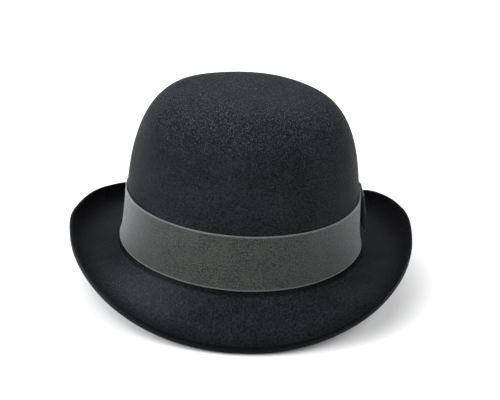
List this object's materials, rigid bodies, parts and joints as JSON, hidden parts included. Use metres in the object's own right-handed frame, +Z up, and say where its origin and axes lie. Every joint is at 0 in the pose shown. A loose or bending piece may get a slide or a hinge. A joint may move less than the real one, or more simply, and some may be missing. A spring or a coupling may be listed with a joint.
{
  "type": "bowler hat",
  "caption": "Hard felt bowler hat: domed crown, brim curled up at the sides, ribbon band with a flat side bow, leather sweatband and satin lining.",
  "frame": {"origin": "on the standing surface, under the middle of the crown, which is the middle of the bounding box's bottom face", "axes": "+Z up out of the crown; the hat's front faces -Y, and the wearer's left, where the bow is, is +X"},
  "size_m": [0.2548, 0.3138, 0.1442],
  "materials": {
    "felt": "stiffened fur felt, matt, short nap",
    "ribbon": "grosgrain, charcoal grey",
    "thread": "waxed sewing thread",
    "leather": "thin brown sheepskin, semi-matt",
    "satin": "ivory satin",
    "patch": "plain woven patch, old gold",
    "ticket": "plain card"
  },
  "bodies": {
    "root": {"felt_body": "felt", "band_ribbon": "ribbon", "band_tack_front": "thread", "band_tack_right": "thread", "band_tack_rear": "thread", "bow_base": "ribbon", "bow_front_loop": "ribbon", "bow_rear_loop": "ribbon", "bow_knot": "ribbon", "bow_tack_upper": "thread", "bow_tack_lower": "thread", "sweatband": "leather", "sweatband_reed": "leather", "reed_stitching": "thread", "sweatband_back_seam": "thread", "sweatband_bow": "ribbon", "sweatband_bow_knot": "ribbon", "lining_side": "satin", "lining_tip": "satin", "lining_piping": "satin", "crest_patch": "patch", "size_ticket": "ticket"}
  },
  "joints": []
}
